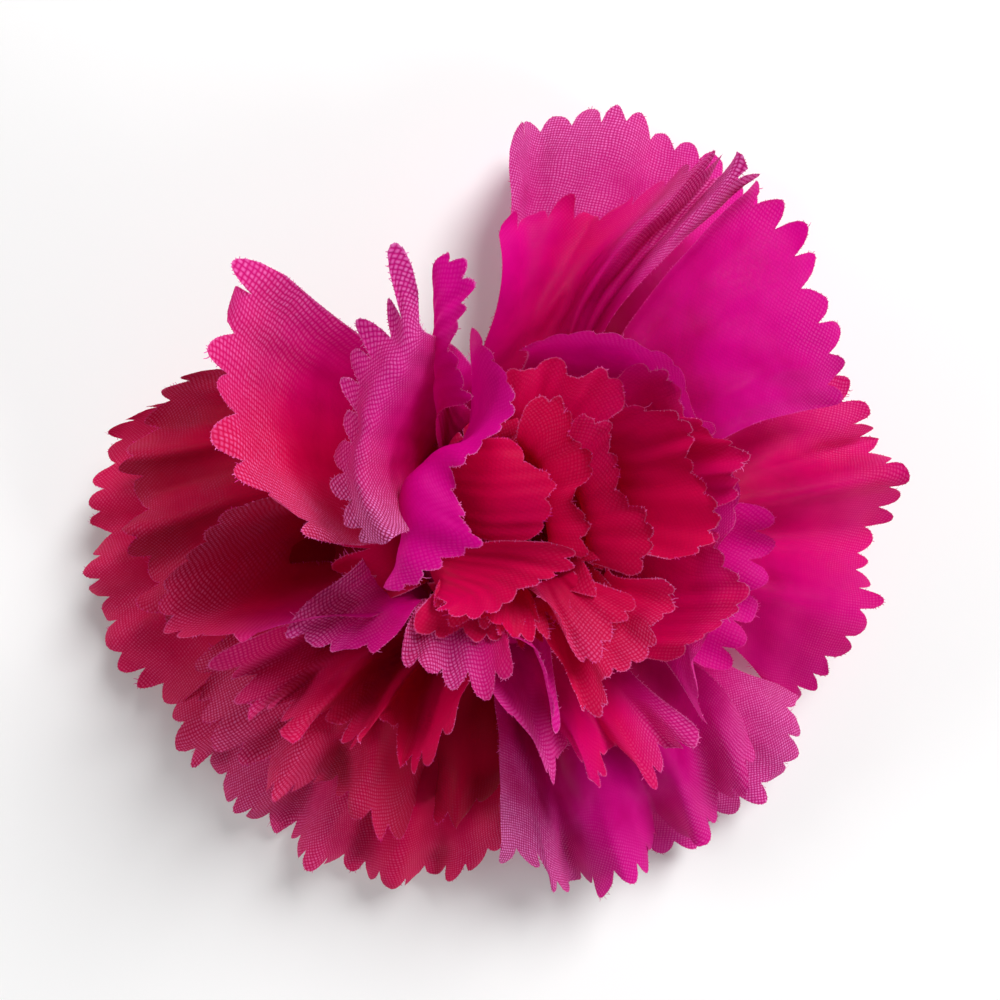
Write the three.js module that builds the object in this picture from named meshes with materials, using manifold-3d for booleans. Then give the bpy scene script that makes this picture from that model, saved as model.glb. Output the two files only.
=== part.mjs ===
// Artificial carnation flower head: eight die-cut discs of woven fabric, threaded on a
// plastic core pin that is pushed into a green moulded calyx with five sepals.
// The head rests face up on the flat base of its calyx.
// Millimetres, +Z up along the flower's axis, origin at the middle of the calyx's base.

import * as THREE from 'three';
import { mergeVertices } from 'three/addons/utils/BufferGeometryUtils.js';
import Module from 'manifold-3d';

// ---- driving dimensions -------------------------------------------------------------
const clearance = 0.3;            // gap kept between pieces that touch

const calyxHeight = 11;           // from the base to the rim under the first petal disc
const calyxBaseRadius = 4.2;
const calyxWaistRadius = 5.6;
const calyxRimRadius = 5.0;
const calyxEdge = 0.6;            // broken edge round the base
const calyxBoreDepth = 7;

const sepalCount = 5;
const sepalLength = 8.5;
const sepalWidth = 5.2;
const sepalThickness = 0.9;
const sepalLean = 47;             // degrees outwards from upright
const sepalTipDrop = 0.9;         // how far the tips stay under the calyx's rim

const pinRadius = 1.1;
const pinHeadRadius = 1.7;
const pinHeadHeight = 1.2;

const clothThickness = 0.4;
const hubStep = 0.75;             // from one disc's hub to the next one's
const seatRadius = 7.4;           // flat middle of the outermost disc
const seatStep = 0.72;            // each disc further in has a smaller flat middle
const hubBend = 2.2;              // length over which a disc turns up from its flat middle
const slitRadius = 10.5;          // the slits between lobes end here, on every disc
const rimRounding = 0.13;         // how much shorter a lobe is at its corners

const spacerThickness = 1.4;      // plastic washer between the flat and the standing discs
const spacerRadius = 4.4;
const spacerAfterDisc = 2;

// Each lobe: azimuth and half width in degrees, then its length from the disc's centre
// in mm, the slope it rises at and how much that slope changes by its tip, in degrees.
const discs = [
  { rise: -5, lobes: [
    [66, 24, 39.6, -7, -22], [0, 31, 37.5, -7, -20], [-57, 22, 35, -7, -20],
    [-122, 28, 36.5, -8, -20], [183, 24, 40, -7, -22]] },
  { rise: 6, lobes: [
    [72, 19, 34, 12, -6], [37, 13, 33, 12, -8], [-14, 24, 25, 10, -6],
    [-66, 22, 34.5, 2, -14], [-124, 30, 32, 5, -10], [175, 22, 34, 7, -10]] },
  { rise: 40, lobes: [
    [152, 23, 38, 56, 8], [193, 13, 33, 32, -6], [-131, 20, 30, 34, -8],
    [-74, 25, 29, 34, -6], [-15, 27, 28, 34, -2], [58, 30, 29, 36, -4]] },
  { rise: 50, lobes: [
    [128, 22, 34, 65, 4], [210, 14, 30, 47, -6], [-115, 17, 28, 46, -4],
    [-78, 12, 28, 46, -4], [-22, 24, 28, 46, 0], [46, 26, 28, 48, 0]] },
  { rise: 58, lobes: [
    [108, 16, 30, 70, 4], [160, 30, 30, 66, 0], [-112, 22, 26, 56, -2],
    [-42, 26, 26, 56, 0], [30, 28, 26, 58, 0]] },
  { rise: 65, lobes: [
    [10, 28, 24, 65, 4], [80, 24, 25, 66, 4], [-52, 22, 24, 65, 2],
    [-112, 22, 24, 66, 0], [160, 28, 26, 70, 0]] },
  { rise: 71, lobes: [
    [20, 28, 22, 73, 4], [92, 26, 22, 73, 4], [-48, 24, 22, 73, 4],
    [-104, 22, 22, 73, 4], [196, 26, 22, 74, 2]] },
  { rise: 77, lobes: [
    [25, 28, 18, 80, 4], [95, 26, 18, 80, 4], [-45, 28, 18, 80, 4],
    [-118, 28, 18, 80, 4], [172, 28, 18, 80, 4]] },
];

// ---- how finely the shapes are divided ------------------------------------------------
const lobeColumns = 4;            // divisions across a lobe
const lobeRings = 4;              // divisions along a lobe, outside the slits' ends
const gapColumn = 14;             // widest division of the hub inside a gap, in degrees
const profileStep = 0.25;         // step in mm when a disc's slope is summed
const roundSides = 24;

const degree = Math.PI / 180;
const smooth = t => { const u = Math.min(1, Math.max(0, t)); return u * u * (3 - 2 * u); };
const mix = (a, b, t) => a + (b - a) * t;

// ---- heights that follow from the stack -----------------------------------------------
const firstHub = calyxHeight + clearance + clothThickness / 2;
function hubHeight(index) {
  const above = index >= spacerAfterDisc;
  const lift = above ? spacerThickness + 2 * clearance + clothThickness - hubStep : 0;
  return firstHub + index * hubStep + lift;
}
const topHub = hubHeight(discs.length - 1) + clothThickness / 2;
const spacerBottom = hubHeight(spacerAfterDisc - 1) + clothThickness / 2 + clearance;
const holeRadius = pinRadius + clearance;

// ---- a petal disc ---------------------------------------------------------------------
// Slope of a lobe's middle line at a distance from the disc's centre.
function slopeAt(distance, disc, lobe, seat) {
  const [, , length, rise, curl] = lobe;
  const hubSlope = disc.rise * smooth((distance - seat) / hubBend);
  const along = (distance - slitRadius) / (length - slitRadius);
  const own = rise + curl * Math.max(0, along) ** 2;
  return mix(hubSlope, own, smooth(along * 3)) * degree;
}

// Radius, height and slope of a lobe at a distance from the disc's centre.
function profileAt(distance, disc, lobe, seat, hub) {
  let radius = Math.min(distance, seat);
  let height = hub;
  let at = radius;
  while (at < distance - 1e-9) {
    const step = Math.min(profileStep, distance - at);
    const slope = slopeAt(at + step / 2, disc, lobe, seat);
    radius += step * Math.cos(slope);
    height += step * Math.sin(slope);
    at += step;
  }
  return { radius, height, slope: slopeAt(distance, disc, lobe, seat) };
}

// The columns of a disc, counter-clockwise: the lobes' own, and the gaps between them.
function discColumns(disc) {
  const lobes = [...disc.lobes].sort((a, b) => a[0] - b[0]);
  const columns = [];
  lobes.forEach((lobe, index) => {
    const [azimuth, half] = lobe;
    const next = lobes[(index + 1) % lobes.length];
    const nextStart = next[0] - next[1] + (index + 1 === lobes.length ? 360 : 0);
    for (let i = 0; i <= lobeColumns; i += 1) {
      const across = -1 + 2 * i / lobeColumns;
      columns.push({ lobe, across, angle: azimuth + half * across, open: i < lobeColumns });
    }
    const gap = nextStart - (azimuth + half);
    const parts = Math.max(1, Math.ceil(gap / gapColumn));
    for (let i = 1; i < parts; i += 1) {
      columns.push({ lobe, across: 1, angle: azimuth + half + gap * i / parts, open: false });
    }
  });
  return columns;
}

function discGeometry(disc, index) {
  const seat = seatRadius - index * seatStep;
  const hub = hubHeight(index);
  const columns = discColumns(disc);
  const hubRings = [holeRadius, seat, seat + hubBend / 2, slitRadius];
  const ringCount = hubRings.length + lobeRings;
  const positions = [];
  const pointIndex = (side, ring, column) =>
    (side * ringCount + ring) * columns.length + (column % columns.length);

  for (const side of [-1, 1]) {
    for (let ring = 0; ring < ringCount; ring += 1) {
      for (const column of columns) {
        const rim = column.lobe[2] * (1 - rimRounding * Math.abs(column.across) ** 3);
        const out = (ring - hubRings.length + 1) / lobeRings;
        const distance = ring < hubRings.length ? hubRings[ring] : mix(slitRadius, rim, out);
        const { radius, height, slope } = profileAt(distance, disc, column.lobe, seat, hub);
        const shift = side * clothThickness / 2;
        const r = radius - shift * Math.sin(slope);
        const angle = column.angle * degree;
        positions.push(r * Math.cos(angle), r * Math.sin(angle), height + shift * Math.cos(slope));
      }
    }
  }

  const hasCell = (ring, column) => {
    if (ring < 0 || ring >= ringCount - 1) return false;
    return ring < hubRings.length - 1 || columns[(column + columns.length) % columns.length].open;
  };
  const triangles = [];
  const quad = (a, b, c, d) => triangles.push(a, b, c, a, c, d);
  for (let ring = 0; ring < ringCount - 1; ring += 1) {
    for (let column = 0; column < columns.length; column += 1) {
      if (!hasCell(ring, column)) continue;
      const p = (side, r, c) => pointIndex(side, ring + r, column + c);
      quad(p(1, 0, 0), p(1, 1, 0), p(1, 1, 1), p(1, 0, 1));
      quad(p(0, 0, 0), p(0, 0, 1), p(0, 1, 1), p(0, 1, 0));
      if (!hasCell(ring - 1, column)) quad(p(0, 0, 0), p(1, 0, 0), p(1, 0, 1), p(0, 0, 1));
      if (!hasCell(ring + 1, column)) quad(p(0, 1, 1), p(1, 1, 1), p(1, 1, 0), p(0, 1, 0));
      if (!hasCell(ring, column - 1)) quad(p(0, 1, 0), p(1, 1, 0), p(1, 0, 0), p(0, 0, 0));
      if (!hasCell(ring, column + 1)) quad(p(0, 0, 1), p(1, 0, 1), p(1, 1, 1), p(0, 1, 1));
    }
  }
  const used = new Map();
  const keptPositions = [];
  const keptTriangles = triangles.map(point => {
    if (!used.has(point)) {
      used.set(point, used.size);
      keptPositions.push(...positions.slice(point * 3, point * 3 + 3));
    }
    return used.get(point);
  });
  const geometry = new THREE.BufferGeometry();
  geometry.setAttribute('position', new THREE.Float32BufferAttribute(keptPositions, 3));
  geometry.setIndex(keptTriangles);
  geometry.computeVertexNormals();
  return geometry;
}

// ---- turned pieces: the points are [radius, height] -------------------------------------
function turned(points) {
  const profile = points.map(([radius, height]) => new THREE.Vector2(radius, height));
  const geometry = new THREE.LatheGeometry(profile, roundSides);
  geometry.rotateX(90 * degree);
  return geometry;
}

function pinGeometry() {
  const bottom = calyxHeight - calyxBoreDepth + clearance;
  const neck = topHub + clearance;
  const dome = 0.4 * pinHeadHeight;
  return turned([
    [0, bottom], [pinRadius, bottom], [pinRadius, neck], [pinHeadRadius, neck],
    [pinHeadRadius, neck + pinHeadHeight - dome], [0.6 * pinHeadRadius, neck + pinHeadHeight],
    [0, neck + pinHeadHeight]]);
}

function spacerGeometry() {
  const top = spacerBottom + spacerThickness;
  return turned([
    [holeRadius, spacerBottom], [spacerRadius, spacerBottom], [spacerRadius, top],
    [holeRadius, top], [holeRadius, spacerBottom]]);
}

// ---- the calyx: a cup with a blind bore, and sepals joined to its side ------------------
const wasm = await Module();
wasm.setup();

function solidOf(geometry) {
  const bare = geometry.clone();
  bare.deleteAttribute('normal');
  bare.deleteAttribute('uv');
  const merged = mergeVertices(bare, 1e-4);
  return new wasm.Manifold(new wasm.Mesh({
    numProp: 3,
    vertProperties: new Float32Array(merged.attributes.position.array),
    triVerts: new Uint32Array(merged.index.array),
  }));
}

function geometryOf(solid) {
  const mesh = solid.getMesh();
  const geometry = new THREE.BufferGeometry();
  geometry.setAttribute('position', new THREE.BufferAttribute(mesh.vertProperties, 3));
  geometry.setIndex(new THREE.BufferAttribute(mesh.triVerts, 1));
  geometry.computeVertexNormals();
  return geometry;
}

function cupGeometry() {
  const boreRadius = pinRadius + clearance;
  const floor = calyxHeight - calyxBoreDepth;
  return turned([
    [0, 0], [calyxBaseRadius - calyxEdge, 0], [calyxBaseRadius, calyxEdge],
    [mix(calyxBaseRadius, calyxWaistRadius, 0.7), 0.25 * calyxHeight],
    [calyxWaistRadius, 0.5 * calyxHeight], [mix(calyxWaistRadius, calyxRimRadius, 0.4), 0.8 * calyxHeight],
    [calyxRimRadius, calyxHeight], [boreRadius, calyxHeight], [boreRadius, floor], [0, floor]]);
}

function sepalGeometry() {
  const outline = new THREE.Shape();
  outline.moveTo(-sepalWidth / 2, 0);
  outline.bezierCurveTo(-sepalWidth / 2, 0.5 * sepalLength, -0.15 * sepalWidth, 0.8 * sepalLength,
    0, sepalLength);
  outline.bezierCurveTo(0.15 * sepalWidth, 0.8 * sepalLength, sepalWidth / 2, 0.5 * sepalLength,
    sepalWidth / 2, 0);
  const blade = new THREE.ExtrudeGeometry(outline,
    { depth: sepalThickness, bevelEnabled: false, curveSegments: 5 });
  blade.translate(0, 0, -sepalThickness / 2);
  blade.rotateX(90 * degree);
  blade.rotateX(-sepalLean * degree);
  const rootHeight = calyxHeight - sepalTipDrop - sepalLength * Math.cos(sepalLean * degree);
  blade.translate(0, calyxWaistRadius - sepalThickness, rootHeight);
  return blade;
}

function calyxGeometry() {
  let solid = solidOf(cupGeometry());
  for (let i = 0; i < sepalCount; i += 1) {
    const sepal = sepalGeometry().rotateZ(i * 360 / sepalCount * degree);
    solid = solid.add(solidOf(sepal));
  }
  return geometryOf(solid);
}

// ---- the assembly ---------------------------------------------------------------------
const greenPlastic = new THREE.MeshStandardMaterial({ color: 0x4f7a35, roughness: 0.55, metalness: 0 });
const whitePlastic = new THREE.MeshStandardMaterial({ color: 0xe6e2da, roughness: 0.5, metalness: 0 });
const petalCloth = new THREE.MeshStandardMaterial({ color: 0xc80069, roughness: 0.85, metalness: 0 });

const group = new THREE.Group();
function addPiece(name, geometry, material) {
  const mesh = new THREE.Mesh(geometry, material);
  mesh.name = name;
  group.add(mesh);
}

addPiece('calyx', calyxGeometry(), greenPlastic);
addPiece('core_pin', pinGeometry(), whitePlastic);
addPiece('petal_spacer', spacerGeometry(), whitePlastic);
discs.forEach((disc, index) => {
  addPiece(`petal_disc_${index + 1}`, discGeometry(disc, index), petalCloth);
});

export default group;
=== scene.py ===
import math

import bmesh
import bpy
import numpy as np
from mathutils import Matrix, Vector


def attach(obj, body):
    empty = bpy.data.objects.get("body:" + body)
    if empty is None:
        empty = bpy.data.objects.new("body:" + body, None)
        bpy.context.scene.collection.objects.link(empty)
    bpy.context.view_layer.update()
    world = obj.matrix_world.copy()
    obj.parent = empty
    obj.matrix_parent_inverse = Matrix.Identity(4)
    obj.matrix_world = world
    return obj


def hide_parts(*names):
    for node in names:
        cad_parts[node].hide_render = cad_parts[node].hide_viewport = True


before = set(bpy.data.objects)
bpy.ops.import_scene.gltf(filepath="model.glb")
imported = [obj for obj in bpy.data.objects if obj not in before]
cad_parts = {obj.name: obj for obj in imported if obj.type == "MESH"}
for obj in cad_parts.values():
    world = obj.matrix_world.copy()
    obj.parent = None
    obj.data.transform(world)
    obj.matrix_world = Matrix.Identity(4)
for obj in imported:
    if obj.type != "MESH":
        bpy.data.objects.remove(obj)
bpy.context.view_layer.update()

# Shapes are worked out in millimetres, the cloth's own unit, and turned to metres when a mesh is made.
MM = 0.001

# ---- the cloth and its cut, in millimetres ------------------------------------------------
THREAD_PITCH = 0.27
HOLE_RADIUS = 1.4
SLIT_ROOT = 9.5                 # the slits between lobes start this far from the hole's middle
UV_SPAN = 100.0                 # millimetres of flat cloth that one unit of UV covers
CORNER_ROUNDING = 0.07          # how much shorter a lobe is at its corners
WRINKLE_HEIGHT = 0.09
WRINKLE_COUNT = 3
WRINKLE_START = 8.0             # length over which wrinkles set in past the slits' ends
OPEN_CLOTH = 9.0                # distance given to cloth that is far from any cut

# ---- pinked teeth: sizes in millimetres, spreads as shares ---------------------------------
TOOTH_PITCH = 2.7
TOOTH_DEPTH = 1.9
TOOTH_CURL = 0.8
TOOTH_SHIFT = 0.22
TOOTH_FOOT = 0.04
TOOTH_ROUNDING = 0.8
DEPTH_RANGE = (0.7, 1.15)
LEAN_RANGE = (0.75, 1.35)
BLUNT_RANGE = (1.6, 2.6)
NOTCH_SHIFT = 0.35
MIN_TEETH = 4

# ---- loose threads along the cuts, in millimetres -----------------------------------------
LOOSE_GAP = 0.26
LOOSE_HALF_WIDTH = 0.035
LOOSE_LENGTH = 0.13
LOOSE_STUB = 0.04
LOOSE_LONGEST = 1.2
LOOSE_ROOT = 0.12               # how far a loose thread starts inside the cut
LOOSE_SECTIONS = ((0.0, 1.0), (0.5, 0.9), (1.0, 0.45))      # shares of its length and of its width
PATCH_WAVES = (0.9, 0.37)       # how fast frayed and clean stretches of a cut follow each other
WAVE_TURN = 6.3                 # the waves start anywhere in this many radians

# ---- how a disc leaves its flat seat, in millimetres ---------------------------------------
SEAT_SHARE = 0.8                # part of the seat that stays quite flat
HUB_BEND = 2.5
LOBE_BEND = 2.0
SPREAD_ROOT = 7.0               # cloth over which a spread lobe leaves the disc's middle
FOLDED_ROOT = 3.0               # the same for a lobe given as rows of points
HUB_MARGIN = 2.0
FLAT_TURN = 356                 # degrees that the lobes of one flat disc may fill

# ---- how finely the cloth is divided ------------------------------------------------------
COLUMNS_PER_TOOTH = 8
HUB_ROWS = 5
BODY_ROWS = 34
BODY_CROWDING = 0.9             # body rows crowd a little towards the rim
TOOTH_ROWS = 5
TABLE_ROWS = 120
TABLE_COLUMNS = 241
TABLE_MARGIN = 1.02
FOLDED_MARGIN = 1.04
CURVE_STEPS = 160
FOLD_STEPS = 80
RIM_STEPS = 6                   # steps back from a folded rim that give the way its teeth run
HUB_STEPS = 200
TINY = 1e-9
WELD = 1e-7


def smoothstep(t):
    u = np.clip(t, 0.0, 1.0)
    return u * u * (3.0 - 2.0 * u)


def through(values, t):
    """A smooth curve through evenly spaced values or points, at places t from 0 to 1."""
    v = np.asarray(values, float)
    where = np.asarray(t, float)
    padded = np.concatenate(([2 * v[0] - v[1]], v, [2 * v[-1] - v[-2]]))
    place = np.clip(where, 0.0, 1.0) * (len(v) - 1)
    k = np.minimum(place.astype(int), len(v) - 2)
    f = (place - k).reshape((-1,) + (1,) * (v.ndim - 1))
    p0, p1, p2, p3 = padded[k], padded[k + 1], padded[k + 2], padded[k + 3]
    return p1 + 0.5 * f * (p2 - p0 + f * (2 * p0 - 5 * p1 + 4 * p2 - p3 + f * (3 * (p1 - p2) + p3 - p0)))


def path_length(points):
    """How far along a line of points each of them is."""
    return np.concatenate([[0], np.cumsum(np.linalg.norm(np.diff(points, axis=0), axis=1))])


def at_run(where, run, values):
    """Values along a line, read at the lengths where."""
    return np.stack([np.interp(where, run, values[:, k]) for k in range(values.shape[1])], 1)


def evenly(points, t):
    """A smooth curve through points, walked at an even pace along its own length."""
    fine = through(points, np.linspace(0, 1, CURVE_STEPS))
    run = path_length(fine)
    return at_run(np.asarray(t) * run[-1], run, fine)


def unit(vectors, least=0.0):
    return vectors / (np.linalg.norm(vectors, axis=-1)[..., None] + least)


def lobe(azimuth, half, length, rise, cup=(0, 10, 10), waves=(), gloss=(0.3,), tone=(1.0,)):
    """A spread lobe. Angles are in degrees and lists run from the hub to the tip.

    rise is the slope of its middle line, cup turns both sides up and waves are (count, degrees,
    phase) ruffles. Two marks run across the lobe, clockwise edge first: its painted sheen, how pale
    its threads turn towards the rim, and its painted shade, how far its magenta dye turns to red (1) and deep
    red (2).
    """
    return dict(azimuth=azimuth, half=half, length=length, rise=rise, cup=cup, waves=waves, rows=None,
                root=SPREAD_ROOT, teeth=1.0, pitch=1.0, spurs=(), gloss=gloss, tone=tone)


def folded(azimuth, *rows, ripple=0.03, teeth=1.0, pitch=1.0, spurs=(), upright=0.0, gloss=(0.3,),
           tone=(0.4,)):
    """One lobe given as rows of points across it, from clockwise to counter-clockwise.

    The first row is nearest the hub and the last is the line through the notches of the rim.
    Its flat length and half width follow from the rows, as cloth doesn't stretch. upright turns
    the teeth from the way the cloth runs (0) to straight up (1); spurs are factors for the length
    of its first teeth.
    """
    return dict(azimuth=azimuth, rows=rows, root=FOLDED_ROOT, ripple=ripple, teeth=teeth, pitch=pitch,
                spurs=spurs, upright=upright, gloss=gloss, tone=tone)


def lobe_tables(shape, disc):
    """Places of a spread lobe's cloth on an even grid of distance from the hub and place across."""
    seat = disc["seat"]
    s = np.linspace(0.0, shape["length"] * TABLE_MARGIN, TABLE_ROWS)
    t = (s - seat) / (shape["length"] - seat)
    slope = np.radians(through(shape["rise"], t)) * smoothstep((s - seat * SEAT_SHARE) / LOBE_BEND)
    heading = np.full_like(s, math.radians(shape["azimuth"]))
    along = np.stack([np.cos(slope) * np.cos(heading), np.cos(slope) * np.sin(heading), np.sin(slope)], 1)
    across = np.stack([-np.sin(heading), np.cos(heading), np.zeros_like(s)], 1)
    up = np.cross(along, across)
    steps = np.diff(s)[:, None] * 0.5 * (along[1:] + along[:-1])
    middle = np.vstack([np.zeros(3), np.cumsum(steps, 0)])
    middle[:, 2] += disc["hub"]

    u = np.linspace(-1.0, 1.0, TABLE_COLUMNS)
    grow = np.clip(t, 0.0, 1.0)[:, None]
    tilt = np.radians(through(shape["cup"], t))[:, None] * u[None, :]
    for count, degrees, phase in shape["waves"]:
        tilt = tilt + np.radians(degrees) * grow * np.cos(math.pi * count * u + phase)[None, :]
    width = (s * math.radians(shape["half"]))[:, None]
    du = u[1] - u[0]

    def integral(values):
        parts = 0.5 * (values[:, 1:] + values[:, :-1]) * du
        total = np.concatenate([np.zeros((len(s), 1)), np.cumsum(parts, 1)], 1)
        return (total - total[:, TABLE_COLUMNS // 2][:, None]) * width

    aside = integral(np.cos(tilt))
    lift = integral(np.sin(tilt))
    places = middle[:, None, :] + aside[..., None] * across[:, None, :] + lift[..., None] * up[:, None, :]
    normals = -np.sin(tilt)[..., None] * across[:, None, :] + np.cos(tilt)[..., None] * up[:, None, :]
    return s, u, places, normals


def sector_angles(shape, u, left, right):
    """Directions of a lobe's columns within its share of the disc's middle."""
    return np.radians(shape["azimuth"] + np.where(u > 0, u * left, u * right))


def shape_folded(shape, disc, left, right):
    """Runs a smooth cloth through a folded lobe's rows, and works out its flat cut."""
    u = np.linspace(-1.0, 1.0, TABLE_COLUMNS)
    base = hub_surface(disc, np.full_like(u, SLIT_ROOT), sector_angles(shape, u, left, right))
    guides = np.stack([base] + [evenly(row, 0.5 * (u + 1)) for row in shape["rows"]])
    fine = through(guides, np.linspace(0, 1, FOLD_STEPS))
    steps = np.linalg.norm(np.diff(fine, axis=0), axis=2)
    run = np.concatenate([np.zeros((1, len(u))), np.cumsum(steps, 0)])
    shape["fine"] = fine
    shape["run"] = run
    shape["length"] = SLIT_ROOT + run[-1].mean() + TOOTH_DEPTH
    shape["half"] = math.degrees(0.5 * path_length(fine[-1])[-1] / (shape["length"] - TOOTH_DEPTH))


def folded_tables(shape, draw):
    """The same tables for a lobe given as rows of points, from the ends of the slits outwards."""
    u = np.linspace(-1.0, 1.0, TABLE_COLUMNS)
    fine, run = shape["fine"], shape["run"]
    s = np.linspace(SLIT_ROOT, shape["length"] * FOLDED_MARGIN, TABLE_ROWS)
    share = (s - SLIT_ROOT) / (shape["length"] - TOOTH_DEPTH - SLIT_ROOT)
    places = np.stack([at_run(share * run[-1, k], run[:, k], fine[:, k]) for k in range(len(u))], 1)
    outwards = unit(fine[-1] - fine[-RIM_STEPS])
    outwards = unit(outwards * (1 - shape["upright"]) + np.array([0, 0, shape["upright"]]))
    past = np.clip(share - 1, 0, None)[:, None, None] * run[-1][None, :, None]
    places = places + past * outwards[None]
    normals = unit(np.cross(np.gradient(places, axis=0), np.gradient(places, axis=1)), TINY)
    phase = draw.uniform(0, 2 * math.pi, 3)
    wave = sum(np.sin(math.pi * count * u + shift) for count, shift in zip((3.1, 5.3, 7.9), phase))
    grow = smoothstep(share)[:, None] * wave[None, :] * shape["ripple"]
    return s, u, places + normals * grow[..., None], normals


def look_up(table_s, table_u, table, s, u):
    """Bilinear reading of a table at the grid of distances s and columns u."""
    a = np.clip((s - table_s[0]) / (table_s[-1] - table_s[0]), 0, 1) * (len(table_s) - 1)
    b = (u + 1.0) * 0.5 * (len(table_u) - 1)
    i = np.minimum(a.astype(int), len(table_s) - 2)
    j = np.minimum(b.astype(int), len(table_u) - 2)
    fa = (a - i)[..., None]
    fb = (b - j)[..., None]
    return ((1 - fa) * (1 - fb) * table[i, j] + (1 - fa) * fb * table[i, j + 1]
            + fa * (1 - fb) * table[i + 1, j] + fa * fb * table[i + 1, j + 1])


def rim_of(shape, draw):
    """The pinked rim: columns across the lobe, the notch line, the rim and how each tooth lies."""
    half = math.radians(shape["half"])
    count = max(MIN_TEETH, round(2 * half * shape["length"] / (TOOTH_PITCH * shape["pitch"])))
    bounds = np.linspace(-1, 1, count + 1)
    bounds[1:-1] += draw.uniform(-TOOTH_SHIFT, TOOTH_SHIFT, count - 1) / count
    steps = np.arange(COLUMNS_PER_TOOTH) / COLUMNS_PER_TOOTH
    columns = np.append((bounds[:-1, None] + np.diff(bounds)[:, None] * steps).ravel(), 1.0)
    tooth = np.append(np.repeat(np.arange(count), COLUMNS_PER_TOOTH), count - 1)
    place = np.append(np.tile(steps, count), 1.0)

    depth = TOOTH_DEPTH * shape["teeth"] * draw.uniform(*DEPTH_RANGE, count)
    depth[:len(shape["spurs"])] *= shape["spurs"]
    bent = place ** draw.uniform(*LEAN_RANGE, count)[tooth]
    from_middle = np.abs(2 * bent - 1)
    profile = np.clip(1 - from_middle ** draw.uniform(*BLUNT_RANGE, count)[tooth], 0, 1) ** TOOTH_ROUNDING

    notch = (shape["length"] - TOOTH_DEPTH) * (1 - CORNER_ROUNDING * np.abs(columns) ** 4)
    shift = draw.uniform(-NOTCH_SHIFT, NOTCH_SHIFT, count + 1)
    notch = notch + shift[np.minimum(tooth + (place > 0.5), count)]
    notch[1:-1] = 0.25 * notch[:-2] + 0.5 * notch[1:-1] + 0.25 * notch[2:]
    rim = notch + depth[tooth] * (TOOTH_FOOT + (1 - TOOTH_FOOT) * profile)
    curl = TOOTH_CURL * draw.uniform(-1.0, 1.0, count)[tooth]
    return dict(u=columns, notch=notch, rim=rim, curl=curl, lateral=(1 - from_middle) * TOOTH_PITCH * 0.5)


def hub_surface(disc, s, angle):
    """The disc's undivided middle: a shallow cup round the pin."""
    fine = np.linspace(0, SLIT_ROOT + SPREAD_ROOT + HUB_MARGIN, HUB_STEPS)
    slope = math.radians(disc["rise"]) * smoothstep((fine - disc["seat"] * SEAT_SHARE) / HUB_BEND)
    step = np.diff(fine)
    halfway = 0.5 * (slope[1:] + slope[:-1])
    radius = np.interp(s, fine, np.concatenate([[0], np.cumsum(step * np.cos(halfway))]))
    height = np.interp(s, fine, np.concatenate([[0], np.cumsum(step * np.sin(halfway))]))
    return np.stack([radius * np.cos(angle), radius * np.sin(angle), disc["hub"] + height], -1)


class Sheet:
    """Collects the vertices, faces, flat places and marks of one disc.

    The marks, one number for each vertex, are read by the cloth's material: cut_edge is the
    distance to the nearest cut, reach runs from 0 at the hub to 1 at the rim, the painted sheen and
    the painted shade are the lobe's own, and border is how pale the disc's frayed cuts are.
    """

    def __init__(self):
        self.places, self.faces, self.flat, self.count = [], [], [], 0
        self.marks = {"cut_edge": [], "reach": [], "gloss": [], "tone": [], "border": []}

    def add(self, places, faces, flat, **marks):
        self.places.append(places.reshape(-1, 3))
        self.faces.append(faces + self.count)
        self.flat.append(flat.reshape(-1, 2))
        for label, values in marks.items():
            self.marks[label].append(np.broadcast_to(values, flat.shape[:-1]).reshape(-1))
        self.count += len(self.places[-1])


def loose_threads(sheet, draw, line, inner, normal, flat, gloss, border):
    """Short loose thread ends along a cut edge, each a thin ribbon that narrows to its tip."""
    run = path_length(line)
    count = int(run[-1] / LOOSE_GAP)
    where = (np.arange(count) + draw.uniform(0.1, 0.9, count)) * LOOSE_GAP
    point = at_run(where, run, line)
    face = at_run(where, run, normal)
    spot = at_run(where, run, flat)
    tangent = unit(at_run(where, run, np.gradient(line, run, axis=0)), TINY)
    out = point - at_run(where, run, inner)
    out = unit(out - (out * tangent).sum(1)[:, None] * tangent, TINY)
    first, second = (np.sin(where * pace + draw.uniform(0, WAVE_TURN)) for pace in PATCH_WAVES)
    patch = 0.5 + 0.5 * first * second
    length = draw.exponential(LOOSE_LENGTH, count) * patch ** 2 + LOOSE_STUB
    length = np.minimum(length, LOOSE_LONGEST)[:, None]
    wander = out + tangent * draw.normal(0, 0.45, (count, 1)) + face * draw.normal(0, 0.35, (count, 1))
    wander = unit(wander)
    droop = tangent * draw.normal(0, 0.35, (count, 1)) + face * draw.normal(0, 0.45, (count, 1))
    rings = []
    for share, thin in LOOSE_SECTIONS:
        reach = length * share if share else -LOOSE_ROOT
        middle = point + wander * reach + droop * length * share ** 2 * 0.5
        wide = tangent * LOOSE_HALF_WIDTH * thin
        rings += [middle - wide, middle + wide]
    places = np.stack(rings, 1).reshape(-1, 3)
    base = np.arange(count)[:, None] * len(rings)
    quads = np.concatenate([base + [0, 1, 3, 2], base + [2, 3, 5, 4]])
    flat_places = np.repeat(spot, len(rings), 0)
    # Loose threads take the lobe's mean painted sheen and a light painted shade.
    sheet.add(places, quads, flat_places, cut_edge=-0.3, reach=1.0, gloss=gloss, tone=0.3, border=border)


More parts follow.
